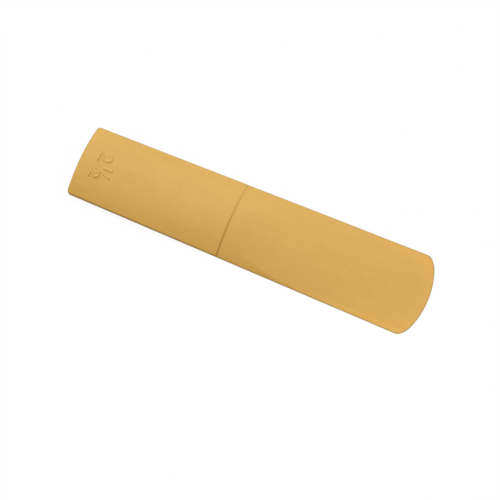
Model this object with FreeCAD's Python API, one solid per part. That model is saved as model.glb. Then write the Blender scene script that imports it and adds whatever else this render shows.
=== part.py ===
"""Alto saxophone reed, moulded in one piece from a stiff cane-coloured resin.

Lengths are in millimetres. The origin lies on the flat underside, midway between the heel and
the foremost point of the tip. +X runs to the tip, +Y to one long side, and +Z up through the
rounded back. The back has three stretches. The stock keeps the round of a cane tube. The land, in
front of a shoulder straight across, keeps the same round a little lower. The vamp thins from the
land to a tip about as thick as a sheet of paper, and begins in a curved edge.
"""

import FreeCAD, Part
import math
import os

# Plan, seen from above. The tip is a flat arch over a share of the width, with a closer curve on
# each side that meets the long side at a corner, as far behind the foremost point as the depth.
REED_LENGTH = 72.5
HEEL_WIDTH = 14.65
TIP_WIDTH = 16.55
TIP_ARCH_RADIUS = 17.1
TIP_ARCH_SHARE = 0.71
TIP_CURVE_DEPTH = 2.86
TIP_CORNER_RADIUS = 1.6
HEEL_CORNER_RADIUS = 0.6

# Stock, from the heel to the shoulder. Its side height is the one at the shoulder.
STOCK_THICKNESS = 3.0
STOCK_SIDE_HEIGHT = 0.8
STOCK_EDGE_ROUNDING = 0.2

# Land, from the top of the shoulder to where the vamp begins on the middle line
LAND_LENGTH = 2.35
SHOULDER_STEP = 0.2
SHOULDER_RUN = 0.25

# Vamp, from its beginning on the middle line to the tip
VAMP_LENGTH = 38.15
TIP_THICKNESS = 0.11

# Across, the vamp is a flat arch. It is round within about the crest of the middle line and
# straighter towards the sides, and the crest narrows towards the tip.
CREST_AT_LAND = 9.0
CREST_AT_TIP = 3.0

# Along the vamp a share is 0 at the tip and 1 at its beginning. The spine hangs a little below a
# straight line. The side edges rise by the even rise in proportion to the share, and by the late
# rise with its cube, which lifts them clear of the land at first and so curves the vamp's edge.
SPINE_HOLLOW_SHARE = 0.05
SIDE_EVEN_RISE = 0.4
SIDE_LATE_RISE = 0.65
SECTION_SHARES = (0.875, 0.75, 0.625, 0.5, 0.375, 0.25, 0.125, 0)

# How far a shape that trims another passes the face that it makes
OVERRUN = 1.0

HEEL_X = -REED_LENGTH / 2
TIP_X = REED_LENGTH / 2
CORNER_X = TIP_X - TIP_CURVE_DEPTH
VAMP_X = TIP_X - VAMP_LENGTH
SHOULDER_X = VAMP_X - LAND_LENGTH
FOOT_X = SHOULDER_X + SHOULDER_RUN
LAND_THICKNESS = STOCK_THICKNESS - SHOULDER_STEP


def point(x, y, z):
    return FreeCAD.Vector(x, y, z)


def half_width(x):
    """Half the distance between the straight long sides, which spread towards the tip."""
    along = (x - HEEL_X) / REED_LENGTH
    return (HEEL_WIDTH + (TIP_WIDTH - HEEL_WIDTH) * along) / 2


# The tube passes over the middle at the full thickness, and over the sides at the shoulder at
# their height. The reach takes each slice across past the sides of the plan.
TUBE_RISE = STOCK_THICKNESS - STOCK_SIDE_HEIGHT
TUBE_RADIUS = (half_width(SHOULDER_X) ** 2 + TUBE_RISE ** 2) / (2 * TUBE_RISE)
REACH = half_width(TIP_X) + OVERRUN


def tip_curves():
    """The tip's outline from the low corner to the high one: side curve, arch, side curve.

    A side curve leaves the arch as its tangent, so its centre lies on the arch's normal there,
    at the distance that brings it through the corner.
    """
    corner = point(CORNER_X, half_width(CORNER_X), 0)
    arch_half = TIP_ARCH_SHARE * half_width(CORNER_X)
    arch_centre = point(TIP_X - TIP_ARCH_RADIUS, 0, 0)
    arch_ahead = math.sqrt(TIP_ARCH_RADIUS ** 2 - arch_half ** 2)
    arch_end = arch_centre + point(arch_ahead, arch_half, 0)
    normal = point(arch_ahead, arch_half, 0) / TIP_ARCH_RADIUS
    chord = corner - arch_end
    radius = -chord.dot(chord) / (2 * chord.dot(normal))
    centre = arch_end - normal * radius
    outward = (arch_end + corner) / 2 - centre
    middle = centre + outward * (radius / outward.Length)
    high_curve = Part.Arc(arch_end, middle, corner).toShape()
    low_curve = high_curve.mirror(point(0, 0, 0), point(0, 1, 0))
    low_end = point(arch_end.x, -arch_half, 0)
    arch = Part.Arc(low_end, point(TIP_X, 0, 0), arch_end).toShape()
    return [low_curve, arch, high_curve]


def plan_outline():
    """The outline of the flat underside: straight heel, straight sides and curved tip."""
    heel_low = point(HEEL_X, -half_width(HEEL_X), 0)
    heel_high = point(HEEL_X, half_width(HEEL_X), 0)
    tip_low = point(CORNER_X, -half_width(CORNER_X), 0)
    tip_high = point(CORNER_X, half_width(CORNER_X), 0)
    low_side = Part.makeLine(heel_low, tip_low)
    high_side = Part.makeLine(tip_high, heel_high)
    heel = Part.makeLine(heel_high, heel_low)
    return Part.Wire([low_side] + tip_curves() + [high_side, heel])


def plan_prism():
    """The outline carried up past the back, with its four upright corners rounded."""
    height = STOCK_THICKNESS + OVERRUN
    prism = Part.Face(plan_outline()).extrude(point(0, 0, height))
    upright = [edge for edge in prism.Edges if 0 < edge.CenterOfMass.z < height]
    heel_corners = [edge for edge in upright if abs(edge.CenterOfMass.x - HEEL_X) < 0.01]
    tip_corners = [edge for edge in upright if abs(edge.CenterOfMass.x - CORNER_X) < 0.01]
    prism = prism.makeFillet(HEEL_CORNER_RADIUS, heel_corners)
    return prism.makeFillet(TIP_CORNER_RADIUS, tip_corners)


def tube(start_x, end_x, crest_height):
    """The round of the cane tube between two places, its crest at a height."""
    start = point(start_x, 0, crest_height - TUBE_RADIUS)
    return Part.makeCylinder(TUBE_RADIUS, end_x - start_x, start, point(1, 0, 0))


def slice_under(arch, x, level):
    """A closed slice across the reed, between an arch from side to side and a straight line."""
    low = point(x, -REACH, level)
    high = point(x, REACH, level)
    rest = Part.makePolygon([arch.EndPoint, high, low, arch.StartPoint])
    return Part.Wire([arch.toShape()] + rest.Edges)


def tube_slice(x, crest_height, level):
    """A slice whose arch has the round of the tube."""
    end_height = crest_height - TUBE_RADIUS + math.sqrt(TUBE_RADIUS ** 2 - REACH ** 2)
    low = point(x, -REACH, end_height)
    high = point(x, REACH, end_height)
    arch = Part.Arc(low, point(x, 0, crest_height), high)
    return slice_under(arch, x, level)


def stock():
    """The plan under the round of the tube, its top edges rounded, stepped down in front."""
    solid = plan_prism().common(tube(HEEL_X - OVERRUN, FOOT_X, STOCK_THICKNESS))
    back = max(solid.Faces, key=lambda face: face.CenterOfMass.z)
    outer_edges = [edge for edge in back.Edges if edge.CenterOfMass.x < SHOULDER_X]
    solid = solid.makeFillet(STOCK_EDGE_ROUNDING, outer_edges)
    return solid.cut(shoulder_wedge())


def shoulder_wedge():
    """What the step takes away: a wedge over a steep ramp, straight across in plan.

    The ramp runs on upwards behind the shoulder as far as it falls in front of it.
    """
    top = STOCK_THICKNESS + SHOULDER_STEP + OVERRUN
    behind = tube_slice(SHOULDER_X - SHOULDER_RUN, STOCK_THICKNESS + SHOULDER_STEP, top)
    foot = tube_slice(FOOT_X, LAND_THICKNESS, top)
    return Part.makeLoft([behind, foot], True, True)


def vamp_slice(x):
    """A slice of the vamp at x, from the arch down past the flat side.

    The arch is a hyperbola: the spine height less a fall that follows the square root of crest
    squared plus y squared. Drawn as a curve with one pole between its ends, it weights that pole
    by the root at the ends over the crest.
    """
    share = (TIP_X - x) / VAMP_LENGTH
    spine_share = share - SPINE_HOLLOW_SHARE * share * (1 - share)
    spine_height = TIP_THICKNESS + (LAND_THICKNESS - TIP_THICKNESS) * spine_share
    side_height = TIP_THICKNESS + SIDE_EVEN_RISE * share + SIDE_LATE_RISE * share ** 3
    crest = CREST_AT_TIP + (CREST_AT_LAND - CREST_AT_TIP) * share
    root_at_side = math.hypot(crest, half_width(x))
    root_at_end = math.hypot(crest, REACH)
    fall = (spine_height - side_height) * (root_at_end - crest) / (root_at_side - crest)
    weight = root_at_end / crest
    arch = Part.BezierCurve()
    end_height = spine_height - fall
    middle_height = spine_height + fall / weight
    arch.setPoles([point(x, -REACH, end_height), point(x, 0, middle_height),
                   point(x, REACH, end_height)])
    arch.setWeight(2, weight)
    return slice_under(arch, x, -OVERRUN)


def land_and_vamp():
    """The stretch in front of the shoulder: a loft through the vamp's slices, lowered to the
    land where it is higher, and trimmed to the plan."""
    places = [FOOT_X] + [TIP_X - VAMP_LENGTH * share for share in SECTION_SHARES]
    slices = [vamp_slice(x) for x in places + [TIP_X + OVERRUN]]
    solid = Part.makeLoft(slices, True, False).common(plan_prism())
    return solid.common(tube(FOOT_X, TIP_X + OVERRUN, LAND_THICKNESS))


def reed_body():
    """Stock, land and vamp as the one solid that comes out of the mould."""
    return stock().fuse(land_and_vamp()).removeSplitter()


os.makedirs("parts", exist_ok=True)
reed_body().exportStep("parts/reed_body.step")
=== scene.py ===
import math

import bpy
import numpy as np
from mathutils import Euler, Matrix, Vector


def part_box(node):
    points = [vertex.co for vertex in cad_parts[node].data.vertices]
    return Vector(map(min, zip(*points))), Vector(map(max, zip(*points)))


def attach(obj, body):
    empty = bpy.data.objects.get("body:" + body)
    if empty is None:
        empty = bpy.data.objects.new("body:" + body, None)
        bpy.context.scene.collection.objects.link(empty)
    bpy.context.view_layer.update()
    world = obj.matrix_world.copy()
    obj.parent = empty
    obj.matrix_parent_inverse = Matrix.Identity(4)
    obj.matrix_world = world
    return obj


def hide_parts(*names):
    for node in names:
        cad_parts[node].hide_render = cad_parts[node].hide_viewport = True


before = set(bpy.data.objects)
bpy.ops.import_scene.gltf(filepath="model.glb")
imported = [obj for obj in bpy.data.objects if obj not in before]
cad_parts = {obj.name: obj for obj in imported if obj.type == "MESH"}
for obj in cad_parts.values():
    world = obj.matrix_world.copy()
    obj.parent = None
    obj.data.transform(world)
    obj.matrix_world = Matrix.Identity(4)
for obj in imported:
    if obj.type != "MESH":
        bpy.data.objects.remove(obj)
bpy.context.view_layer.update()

# The reed. It is one moulding in a stiff cane-coloured resin: the stock, the step of the shoulder,
# the long vamp and the raised strength mark leave the mould as one piece. Its flat side lies on a
# mouthpiece, where a ligature holds the stock down. Its sizes are in millimetres.
mm = 0.001
reed_low, reed_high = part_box("reed_body")
heel_x = reed_low.x / mm
tip_x = reed_high.x / mm
heel_width = 14.65
tip_width = 16.55
heel_corner_radius = 0.6
tip_arch_radius = 17.1
tip_arch_share = 0.71
tip_curve_depth = 2.86
tip_corner_radius = 1.6
side_slope = (tip_width - heel_width) / 2 / (tip_x - heel_x)
side_angle = math.atan(side_slope)


def half_width(x, inset=0.0):
    """Half the width at x. It grows in a straight line from the heel to the tip, and the inset
    brings each side in by that much, measured square to the side."""
    return heel_width / 2 + side_slope * (x - heel_x) - inset / math.cos(side_angle)


# Each end is followed from the middle line out to the side, a rim's width inside the outline, as
# plan points with the angle of the outward normal at each. The heel is a straight line and then
# the arc of its corner.
rim_width = 0.24
heel_corner_points = 500
tip_part_points = 1500
side_normal = math.pi / 2 + side_angle
heel_corner_x = heel_x + heel_corner_radius
heel_corner_y = half_width(heel_corner_x, heel_corner_radius)
heel_angle = np.append(math.pi, np.linspace(math.pi, side_normal, heel_corner_points))
heel_curve_x = heel_corner_x + (heel_corner_radius - rim_width) * np.cos(heel_angle)
heel_curve_y = heel_corner_y + (heel_corner_radius - rim_width) * np.sin(heel_angle)
heel_curve_y[0] = 0.0

# The tip is a flat arch over a share of the width, then a closer curve that leaves it as a
# tangent, so its centre lies on the arch's normal at the distance that brings it to the side at
# the curve's depth. A corner arc rounds that meeting. Its centre lies its own radius inside both,
# which gives a quadratic for how far it is ahead of the curve's centre.
arch_half = tip_arch_share * half_width(tip_x - tip_curve_depth)
arch_x = tip_x - tip_arch_radius
arch_turn = math.asin(arch_half / tip_arch_radius)
arch_normal = np.array([math.cos(arch_turn), math.sin(arch_turn)])
arch_end = np.array([arch_x, 0.0]) + tip_arch_radius * arch_normal
chord = np.array([tip_x - tip_curve_depth, half_width(tip_x - tip_curve_depth)]) - arch_end
curve_radius = -(chord @ chord) / (2 * chord @ arch_normal)
curve_x, curve_y = arch_end - curve_radius * arch_normal
inner_radius = curve_radius - tip_corner_radius
inner_side = half_width(curve_x, tip_corner_radius) - curve_y
square_term = 1 + side_slope ** 2
root = math.sqrt(square_term * inner_radius ** 2 - inner_side ** 2)
corner_ahead = (root - side_slope * inner_side) / square_term
corner_x = curve_x + corner_ahead
corner_y = half_width(corner_x, tip_corner_radius)
curve_turn = math.atan2(corner_y - curve_y, corner_ahead)
arch_angle = np.linspace(0.0, arch_turn, tip_part_points)
curve_angle = np.linspace(arch_turn, curve_turn, tip_part_points)
corner_angle = np.linspace(curve_turn, side_normal, tip_part_points)
tip_angle = np.concatenate([arch_angle, curve_angle, corner_angle])
tip_curve_x = np.concatenate([
    arch_x + (tip_arch_radius - rim_width) * np.cos(arch_angle),
    curve_x + (curve_radius - rim_width) * np.cos(curve_angle),
    corner_x + (tip_corner_radius - rim_width) * np.cos(corner_angle),
])
tip_curve_y = np.concatenate([
    (tip_arch_radius - rim_width) * np.sin(arch_angle),
    curve_y + (curve_radius - rim_width) * np.sin(curve_angle),
    corner_y + (tip_corner_radius - rim_width) * np.sin(corner_angle),
])


def end_at(share, end_x, end_y, end_angle):
    """Where lines at these shares of the half width meet an end: x, and the normal's angle there.
    Both are read off on straight lines between the end's points, by the points' own shares. The
    ends are symmetrical, so a share below zero mirrors the angle."""
    end_share = end_y / half_width(end_x, rim_width)
    x = np.interp(abs(share), end_share, end_x)
    angle = np.interp(abs(share), end_share, end_angle)
    return x, np.where(share < 0, -angle, angle)


# The back: a stock with the round of a cane tube, then the shoulder, a short steep ramp down to
# the land, which keeps nearly the same round, and then the vamp, which thins to a tip like a sheet
# of paper. Land and vamp are a little lower at -y. The vamp's spine hangs a little below a
# straight line, and its sides rise above the land at first, so it begins in a curved edge.
stock_thickness = reed_high.z / mm
stock_side_height = 0.8
shoulder_step = 0.2
land_lean = 0.12
land_side_fall = 0.05
shoulder_run = 0.25
shoulder_softness = 0.05
land_length = 2.35
land_softness = 0.004
vamp_length = 38.15
vamp_lean = 0.22
tip_thickness = 0.11
crest_at_land = 9.0
crest_at_tip = 3.0
spine_hollow = 0.05
side_even_rise = 0.4
side_late_rise = 0.65
shoulder_x = tip_x - vamp_length - land_length
foot_x = shoulder_x + shoulder_run
stock_rise = stock_thickness - stock_side_height
tube_radius = (half_width(shoulder_x) ** 2 + stock_rise ** 2) / (2 * stock_rise)
spine_rise = stock_thickness - shoulder_step - tip_thickness


def back_height(x, y):
    """Height of the smooth back, where t is y over the half width. The stock is a circle across, at
    the tube's radius. The land is the stock less the step, plus its lean times t, less its side
    fall times t squared. The vamp is a hyperbola across: the spine height less a fall that follows
    the root of crest squared plus y squared. Along it, share s is 0 at the tip and 1 where it
    begins: the spine follows s - hollow s (1 - s), the sides s and its cube, and its lean times t
    shrinks with s. Where land and vamp cross, the lower one is the surface, by a soft minimum. The
    ramp is the difference of two soft corners, and mixes stock into land."""
    half = half_width(x)
    t = y / half
    stock = stock_thickness - tube_radius + np.sqrt(tube_radius ** 2 - y ** 2)
    land = stock - shoulder_step + land_lean * t - land_side_fall * t ** 2
    share = np.maximum((tip_x - x) / vamp_length, 0.0)
    spine = tip_thickness + spine_rise * (share - spine_hollow * share * (1 - share))
    side = tip_thickness + side_even_rise * share + side_late_rise * share ** 3
    crest = crest_at_tip + (crest_at_land - crest_at_tip) * share
    fall = (np.hypot(crest, y) - crest) / (np.hypot(crest, half) - crest)
    vamp = spine - (spine - side) * fall + vamp_lean * share * t
    lower = -land_softness * np.logaddexp(-land / land_softness, -vamp / land_softness)
    begun = np.logaddexp(0.0, (x - shoulder_x) / shoulder_softness)
    ended = np.logaddexp(0.0, (x - foot_x) / shoulder_softness)
    ramp = (begun - ended) * shoulder_softness / shoulder_run
    return stock + (lower - stock) * ramp


# The strength mark, a raised 2 1/2 near the heel. It is read with the tip up, so "across" runs to
# the right of the reader, which is -y, and "along" runs up, which is +x. Its strokes are thick in
# the bowls and thin in the feet.
mark_height = 0.16
mark_flank = 0.2
thick_stroke = 0.44
middle_stroke = 0.34
thin_stroke = 0.26
hook_angle = math.radians(165)
bowl_points = 24


def figure_two(left, right, foot, top, bowl_left, bowl_right, tallness):
    """Middle line of a 2 with its stroke at each point: a bowl from its hook over the top, a
    straight neck that leaves the bowl as a tangent and thins to the left end of the foot, and the
    foot. The bowl is a circle drawn out by its tallness. With that taken off again, the tangent's
    direction is that of the bowl's centre from the end of the foot, less the angle whose sine is
    radius over distance."""
    radius = (bowl_right - bowl_left) / 2
    centre_across = bowl_right - radius
    centre_along = top - radius * tallness
    across = centre_across - left
    along = (centre_along - foot) / tallness
    tangent = math.atan2(along, across) - math.asin(radius / math.hypot(across, along))
    turn = np.linspace(hook_angle, tangent - math.pi / 2, bowl_points)
    bowl = np.stack([centre_across + radius * np.cos(turn),
                     centre_along + radius * tallness * np.sin(turn),
                     np.full(bowl_points, thick_stroke)], axis=1)
    return np.vstack([bowl, [left, foot, thin_stroke], [right, foot, thin_stroke]])


def outside_stroke(across, along, line):
    """Distance from each place to the edge of a stroke: to the nearest point on each straight
    piece of its middle line, held between the piece's ends, less half the stroke there, and then
    the least of these."""
    start = line[:-1, :2]
    step = line[1:, :2] - start
    from_start = np.stack([across, along], axis=-1)[..., None, :] - start
    reach = np.clip((from_start * step).sum(-1) / (step ** 2).sum(-1), 0.0, 1.0)
    stroke = line[:-1, 2] + (line[1:, 2] - line[:-1, 2]) * reach
    distance = np.linalg.norm(from_start - reach[..., None] * step, axis=-1)
    return (distance - stroke / 2).min(-1)


# Each point of the 1 and of the bar is its place across and along, and the stroke there.
mark_lines = [
    figure_two(left=-2.34, right=-0.62, foot=-32.86, top=-30.3,
               bowl_left=-2.25, bowl_right=-0.93, tallness=1.25),
    np.array([[0.3, -29.4, thin_stroke], [0.6, -29.25, middle_stroke], [0.6, -30.95, middle_stroke]]),
    np.array([[2.1, -29.2, middle_stroke], [1.05, -32.4, middle_stroke]]),
    figure_two(left=1.5, right=2.92, foot=-33.25, top=-31.45,
               bowl_left=1.6, bowl_right=2.66, tallness=1.1),
]


def mark_relief(x, y):
    """How far the mark stands out of the back: its full height over a stroke, then a flank that
    falls as a smooth step, 3 t squared less 2 t cubed."""
    nearest = np.min([outside_stroke(-y, x, line) for line in mark_lines], axis=0)
    t = np.clip(0.5 - nearest / mark_flank, 0.0, 1.0)
    return mark_height * t * t * (3 - 2 * t)


# The back is a grid. Its lines lie at shares of the half width, close together over the mark and
# closer and closer towards the sides, where they follow the corners round. Its stations along the
# reed are straight across, but in a zone at each end they stretch to the end curve, and come
# closer and closer together towards it.
mark_low_x = -33.9
mark_high_x = -28.5
mark_reach_y = 3.4
heel_zone_x = -35.1
ramp_zone_low_x = shoulder_x - shoulder_run
ramp_zone_high_x = foot_x + shoulder_run
vamp_edge_end_x = 8.0
tip_zone_x = 30.0
mark_cells_across = 160
side_cells_across = 23
heel_zone_cells = 8
tip_zone_cells = 20
mark_share = mark_reach_y / half_width(mark_low_x)
mark_shares = np.linspace(-mark_share, mark_share, mark_cells_across + 1)
towards_side = np.linspace(0.0, 1.0, side_cells_across + 1)[1:]
side_shares = 1 - (1 - mark_share) * (1 - towards_side) ** 2
line_shares = np.concatenate([-side_shares[::-1], mark_shares, side_shares])

# Between the zones, each stretch has its start, its end and the number of cells along it.
stretches = [
    (heel_zone_x, mark_low_x, 7),
    (mark_low_x, mark_high_x, 130),
    (mark_high_x, ramp_zone_low_x, 25),
    (ramp_zone_low_x, ramp_zone_high_x, 30),
    (ramp_zone_high_x, vamp_edge_end_x, 47),
    (vamp_edge_end_x, tip_zone_x, 30),
]
station_runs = [np.linspace(start, end, cells, endpoint=False) for start, end, cells in stretches]
stations = np.concatenate(station_runs + [[tip_zone_x]])
heel_end_x, heel_end_angle = end_at(line_shares, heel_curve_x, heel_curve_y, heel_angle)
tip_end_x, tip_end_angle = end_at(line_shares, tip_curve_x, tip_curve_y, tip_angle)
to_heel = np.linspace(1.0, 0.0, heel_zone_cells + 1)[:-1, None] ** 2
to_tip = 1 - np.linspace(1.0, 0.0, tip_zone_cells + 1)[1:, None] ** 2
grid_x = np.vstack([
    heel_zone_x + (heel_end_x - heel_zone_x) * to_heel,
    np.repeat(stations[:, None], len(line_shares), axis=1),
    tip_zone_x + (tip_end_x - tip_zone_x) * to_tip,
])
grid_y = half_width(grid_x, rim_width) * line_shares
grid_z = back_height(grid_x, grid_y) + mark_relief(grid_x, grid_y)
back = np.stack([grid_x, grid_y, grid_z], axis=-1)

# The rim goes once round the grid: along the -y side to the tip, across it, back along the +y side
# and across the heel. At each place its profile leaves the back, rounds over at a radius that is
# larger on the stock, drops down the wall and turns under at a small radius to the flat side.
# Neither radius is more than its share of the edge's height.
stock_rounding = 0.2
vamp_rounding = 0.12
rounding_share = 0.42
foot_rounding = 0.06
foot_rounding_share = 0.3
over_points = 7
under_points = 4
row_count, line_count = grid_x.shape
index = np.arange(row_count * line_count).reshape(row_count, line_count)
loop = np.concatenate([index[:-1, 0], index[-1, :-1], index[:0:-1, -1], index[0, :0:-1]])
side_steps = row_count - 1
loop_angle = np.concatenate([
    np.full(side_steps, -side_normal),
    tip_end_angle[:-1],
    np.full(side_steps, side_normal),
    heel_end_angle[:0:-1],
])
outward = np.stack([np.cos(loop_angle), np.sin(loop_angle)], axis=1)
edge = back.reshape(-1, 3)[loop]


def height_outside(reach):
    """Height of the smooth back this far outwards from each place of the loop."""
    place = edge[:, :2] + reach * outward
    return back_height(place[:, 0], place[:, 1])


slope_step = 0.05
edge_height = height_outside(rim_width)
edge_slope = (edge_height - height_outside(rim_width - slope_step)) / slope_step
on_vamp = np.clip((edge[:, 0] - shoulder_x) / shoulder_run, 0.0, 1.0)
rounding = stock_rounding + (vamp_rounding - stock_rounding) * on_vamp
rounding = np.minimum(rounding, rounding_share * edge_height)
under = np.minimum(foot_rounding, foot_rounding_share * edge_height)

# The upper arc's centre lies its radius inside the wall, and its radius below the line of the
# back, so the arc starts where it touches that line.
line_length = np.sqrt(1 + edge_slope ** 2)
arc_height = edge_height - rounding * (edge_slope + line_length)
over_angle = np.arctan2(1.0, -edge_slope)[:, None] * np.linspace(1.0, 0.0, over_points)
under_angle = np.linspace(0.0, -math.pi / 2, under_points)
over_reach = rim_width - rounding[:, None] * (1 - np.cos(over_angle))
over_height = arc_height[:, None] + rounding[:, None] * np.sin(over_angle)
under_reach = rim_width - under[:, None] * (1 - np.cos(under_angle))
under_height = under[:, None] * (1 + np.sin(under_angle))
reach = np.hstack([over_reach, under_reach])
height = np.hstack([over_height, under_height])
rim = np.empty(reach.shape + (3,))
rim[..., :2] = edge[:, None, :2] + reach[..., None] * outward[:, None]
rim[..., 2] = height

# Faces: the grid's cells, the cells between the loop and each ring of the rim, and underneath a
# fan of flat ones round a point in the middle. All of them point outwards.
ring_count = rim.shape[1]
rim_index = index.size + np.arange(rim[..., 0].size).reshape(len(loop), ring_count)
rings = np.hstack([loop[:, None], rim_index])
next_rings = np.roll(rings, -1, axis=0)
back_faces = np.stack([index[:-1, :-1], index[1:, :-1], index[1:, 1:], index[:-1, 1:]], axis=-1)
rim_faces = np.stack([rings[:, :-1], rings[:, 1:], next_rings[:, 1:], next_rings[:, :-1]], axis=-1)
middle = np.full(len(loop), index.size + rim_index.size)
flat_faces = np.stack([middle, next_rings[:, -1], rings[:, -1]], axis=-1)
faces = back_faces.reshape(-1, 4).tolist() + rim_faces.reshape(-1, 4).tolist() + flat_faces.tolist()
vertices = np.vstack([back.reshape(-1, 3), rim.reshape(-1, 3), np.zeros((1, 3))]) * mm
mesh = bpy.data.meshes.new("reed")
mesh.from_pydata(vertices.tolist(), [], faces)
smooth = np.arange(len(faces)) < len(faces) - len(flat_faces)
mesh.polygons.foreach_set("use_smooth", smooth)
mesh.update()

# The rim has painted shade: its colour is made darker than the back's, for the shade that falls on
# the edge and the wall. The shade comes in over the upper arc in proportion to the reach, is full on
# the wall, and goes out over the lower arc with the cosine of its turn.
over_share = over_reach / rim_width
under_share = np.tile(np.cos(under_angle), (len(loop), 1))
shaded = mesh.attributes.new("painted_rim_shade", "FLOAT", "POINT")
painted_rim_shade = np.hstack([over_share, under_share])
shaded.data.foreach_set("value", np.concatenate([np.zeros(index.size), painted_rim_shade.ravel(), [0.0]]))

# Painted light: the colour is made brighter where light would show through the thin resin. The share
# of it rises as the back comes down below a thickness. Inwards from the outline it comes in over a
# short way, in proportion to the inset, and falls off as the exponential of minus the inset squared.
# It is larger towards the sides. Over the rim's upper arc it goes out in proportion to the reach.
glow_thickness = 0.55
glow_fade = 0.3
glow_onset = 0.8
glow_reach = 1.3
glow_inner_share = 0.2
glow_middle_share = 0.4
side_inset = (half_width(grid_x) - np.abs(grid_y)) * math.cos(side_angle)
tip_inset = (tip_end_x - grid_x) * np.cos(tip_end_angle) + rim_width
inset = np.minimum(side_inset, tip_inset)
glow = np.clip((glow_thickness - grid_z) / glow_fade, 0.0, 1.0)
glow *= np.clip(inset / glow_onset, 0.0, 1.0)
glow *= glow_inner_share + (1 - glow_inner_share) * np.exp(-(inset / glow_reach) ** 2)
glow *= glow_middle_share + (1 - glow_middle_share) * line_shares ** 2
over_glow = glow.reshape(-1)[loop, None] * (1 - over_share)
shown_through = mesh.attributes.new("painted_light_through", "FLOAT", "POINT")
rim_glow = np.hstack([over_glow, np.zeros_like(under_share)])
shown_through.data.foreach_set("value", np.concatenate([glow.ravel(), rim_glow.ravel(), [0.0]]))
reed = bpy.data.objects.new("reed", mesh)
bpy.context.scene.collection.objects.link(reed)
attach(reed, "root")
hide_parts("reed_body")

# The resin. Cane-coloured and even, with the satin of a fine-blasted mould. It is faintly mottled
# and flecked, streaked along the way that it flowed, and a fine grain stands in its surface. Its
# colour has painted light where the resin is thin, and painted shade on the rim.
resin_dark = (0.636, 0.363, 0.080, 1.0)
resin_light = (0.736, 0.437, 0.113, 1.0)
# Painted light where the resin is thin: the factor that brightens its colour.
painted_glow_tint = (1.14, 1.09, 1.0, 1.0)
# Painted shade on the rim: the factor that darkens its colour.
rim_painted_shade_tint = (0.655, 0.68, 0.70, 1.0)
roughness_low = 0.55
roughness_high = 0.70
grain_depth = 0.004
resin = bpy.data.materials.new("reed_resin")
resin.use_nodes = True
nodes = resin.node_tree.nodes
links = resin.node_tree.links
shader = nodes["Principled BSDF"]
shader.inputs["IOR"].default_value = 1.46
shader.inputs["Specular IOR Level"].default_value = 0.25
object_place = nodes.new("ShaderNodeTexCoord").outputs["Object"]


def resin_noise(size, detail, stretch=1.0):
    """Noise with features of this size in millimetres, drawn out by the stretch along the reed."""
    drawn_out = nodes.new("ShaderNodeMapping")
    drawn_out.inputs["Scale"].default_value = (1 / stretch, 1.0, 1.0)
    links.new(object_place, drawn_out.inputs["Vector"])
    noise = nodes.new("ShaderNodeTexNoise")
    noise.inputs["Scale"].default_value = 1 / (size * mm)
    noise.inputs["Detail"].default_value = detail
    links.new(drawn_out.outputs["Vector"], noise.inputs["Vector"])
    return noise.outputs["Fac"]


def sum_of(shares):
    """A half, plus each noise's difference from a half times its share. Each node multiplies one
    noise by its share and adds the sum so far, which starts at what brings the middle to a half."""
    total = None
    for noise, share in shares:
        added = nodes.new("ShaderNodeMath")
        added.operation = "MULTIPLY_ADD"
        added.inputs[1].default_value = share
        links.new(noise, added.inputs[0])
        if total is None:
            added.inputs[2].default_value = 0.5 - 0.5 * sum(part for _, part in shares)
        else:
            links.new(total, added.inputs[2])
        total = added.outputs[0]
    return total


mottle = resin_noise(size=5.0, detail=2.0)
streak = resin_noise(size=0.9, detail=2.0, stretch=12.0)
fleck = resin_noise(size=1.0, detail=2.0)
speckle = resin_noise(size=0.3, detail=3.0)
grain = resin_noise(size=0.14, detail=2.0)
colour_shares = [(mottle, 0.5), (streak, 0.5), (fleck, 0.4), (speckle, 0.4)]
roughness_shares = [(mottle, 0.5), (speckle, 0.5)]
grain_shares = [(grain, 1.0), (speckle, 0.6)]
colour = nodes.new("ShaderNodeMix")
colour.data_type = "RGBA"
colour.inputs["A"].default_value = resin_dark
colour.inputs["B"].default_value = resin_light
links.new(sum_of(colour_shares), colour.inputs["Factor"])


def tinted(base, attribute, tint):
    """The base colour times the tint, as far as the attribute says."""
    amount = nodes.new("ShaderNodeAttribute")
    amount.attribute_name = attribute
    times = nodes.new("ShaderNodeMix")
    times.data_type = "RGBA"
    times.blend_type = "MULTIPLY"
    times.inputs["B"].default_value = tint
    links.new(amount.outputs["Fac"], times.inputs["Factor"])
    links.new(base, times.inputs["A"])
    return times.outputs["Result"]


# The colour with painted light where the resin is thin.
back_colour = tinted(colour.outputs["Result"], "painted_light_through", painted_glow_tint)
# Then the painted shade on the rim darkens that colour.
links.new(tinted(back_colour, "painted_rim_shade", rim_painted_shade_tint), shader.inputs["Base Color"])

gloss = nodes.new("ShaderNodeMapRange")
gloss.inputs["To Min"].default_value = roughness_low
gloss.inputs["To Max"].default_value = roughness_high
links.new(sum_of(roughness_shares), gloss.inputs["Value"])
links.new(gloss.outputs["Result"], shader.inputs["Roughness"])

bump = nodes.new("ShaderNodeBump")
bump.inputs["Strength"].default_value = 1.0
bump.inputs["Distance"].default_value = grain_depth * mm
links.new(sum_of(grain_shares), bump.inputs["Height"])
links.new(bump.outputs["Normal"], shader.inputs["Normal"])
mesh.materials.append(resin)

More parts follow.
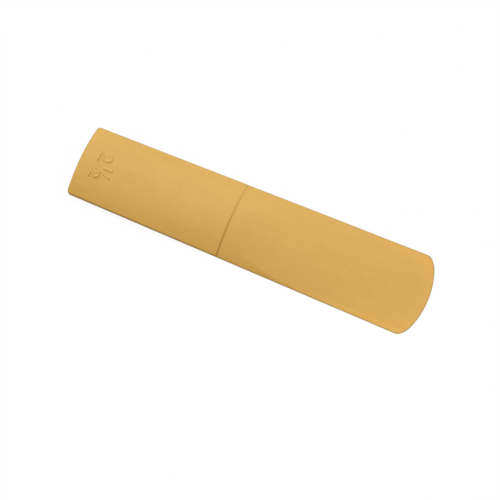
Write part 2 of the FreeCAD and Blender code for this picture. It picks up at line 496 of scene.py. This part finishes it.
# The floor, a wide white table that the flat side lies on. Looked at, it is a small share of paint
# in the light and for the rest a glow that makes the two together white, so that only a faint
# shadow of the reed is left on it. Where it only lights the reed, it is the paint alone. Its size
# is in metres.
floor_half = 2.0
floor_colour = 0.45
lit_share = 0.2
floor_mesh = bpy.data.meshes.new("floor")
floor_mesh.from_pydata([(-floor_half, -floor_half, 0.0), (floor_half, -floor_half, 0.0),
                        (floor_half, floor_half, 0.0), (-floor_half, floor_half, 0.0)],
                       [], [(0, 1, 2, 3)])
floor = bpy.data.objects.new("floor", floor_mesh)
bpy.context.scene.collection.objects.link(floor)
floor_paint = bpy.data.materials.new("floor_white")
floor_paint.use_nodes = True
floor_nodes = floor_paint.node_tree.nodes
floor_links = floor_paint.node_tree.links
floor_nodes.remove(floor_nodes["Principled BSDF"])
lit = floor_nodes.new("ShaderNodeBsdfDiffuse")
lit.inputs["Color"].default_value = (floor_colour, floor_colour, floor_colour, 1.0)
plain = floor_nodes.new("ShaderNodeEmission")
plain.inputs["Strength"].default_value = (1 - lit_share * floor_colour) / (1 - lit_share)


def rays_of_sight(tree):
    """1 for a ray that shows what lies behind: one from the camera, or mirrored, or through glass.
    It is the largest of the three shares that Light Path gives."""
    path = tree.nodes.new("ShaderNodeLightPath")
    largest = path.outputs["Is Camera Ray"]
    for kind in ("Is Glossy Ray", "Is Transmission Ray"):
        larger = tree.nodes.new("ShaderNodeMath")
        larger.operation = "MAXIMUM"
        tree.links.new(largest, larger.inputs[0])
        tree.links.new(path.outputs[kind], larger.inputs[1])
        largest = larger.outputs[0]
    return largest


seen = floor_nodes.new("ShaderNodeMath")
seen.operation = "MULTIPLY"
seen.inputs[1].default_value = 1 - lit_share
shown = floor_nodes.new("ShaderNodeMixShader")
floor_links.new(rays_of_sight(floor_paint.node_tree), seen.inputs[0])
floor_links.new(seen.outputs[0], shown.inputs["Fac"])
floor_links.new(lit.outputs[0], shown.inputs[1])
floor_links.new(plain.outputs[0], shown.inputs[2])
floor_links.new(shown.outputs[0], floor_nodes["Material Output"].inputs["Surface"])
floor_mesh.materials.append(floor_paint)

# The light: a soft, cool key lamp from over the heel and the +y side, halfway up, and a warm, even
# room, which is white where it is looked at. The lamp's colour is what the room's lacks of white,
# so that together they show a level surface in about the colour that it is written in.
key_towards = Vector((-0.51, 0.44, 0.74)).normalized()
key_spread = math.radians(30)
room_colour = (0.58, 0.50, 0.36)
key_colour = [1 - part for part in room_colour]
key_lamp = bpy.data.lights.new("key", "SUN")
key_lamp.energy = math.pi / key_towards.z
key_lamp.color = key_colour
key_lamp.angle = key_spread
key = bpy.data.objects.new("key", key_lamp)
key.rotation_mode = "QUATERNION"
key.rotation_quaternion = key_towards.to_track_quat("Z", "Y")
bpy.context.scene.collection.objects.link(key)

room = bpy.data.worlds.new("room")
room.use_nodes = True
bpy.context.scene.world = room
room_nodes = room.node_tree.nodes
room_links = room.node_tree.links
around = room_nodes["Background"]
around.inputs["Color"].default_value = (*room_colour, 1.0)
around.inputs["Strength"].default_value = 1.0
backdrop = room_nodes.new("ShaderNodeBackground")
backdrop.inputs["Color"].default_value = (1.0, 1.0, 1.0, 1.0)
backdrop.inputs["Strength"].default_value = 1.0
room_mix = room_nodes.new("ShaderNodeMixShader")
room_links.new(rays_of_sight(room.node_tree), room_mix.inputs["Fac"])
room_links.new(around.outputs[0], room_mix.inputs[1])
room_links.new(backdrop.outputs[0], room_mix.inputs[2])
room_links.new(room_mix.outputs[0], room_nodes["World Output"].inputs["Surface"])

# The camera looks steeply down on the back from beyond the -y side and the tip, and is turned so
# that the heel is at the upper left. Its aim is a point on the floor.
camera_aim = Vector((1.309, -3.910, 0.0)) * mm
camera_distance = 270.08 * mm
camera_turn = Euler((math.radians(15.184), math.radians(3.965), math.radians(23.809)), "XYZ")
camera_data = bpy.data.cameras.new("camera")
camera_data.sensor_width = 36.0
camera_data.lens = 101.475
camera_data.clip_start = 0.01
camera = bpy.data.objects.new("camera", camera_data)
camera.rotation_euler = camera_turn
camera.location = camera_aim + camera_turn.to_matrix() @ Vector((0.0, 0.0, camera_distance))
bpy.context.scene.collection.objects.link(camera)
bpy.context.scene.camera = camera
bpy.context.scene.view_settings.view_transform = "Standard"
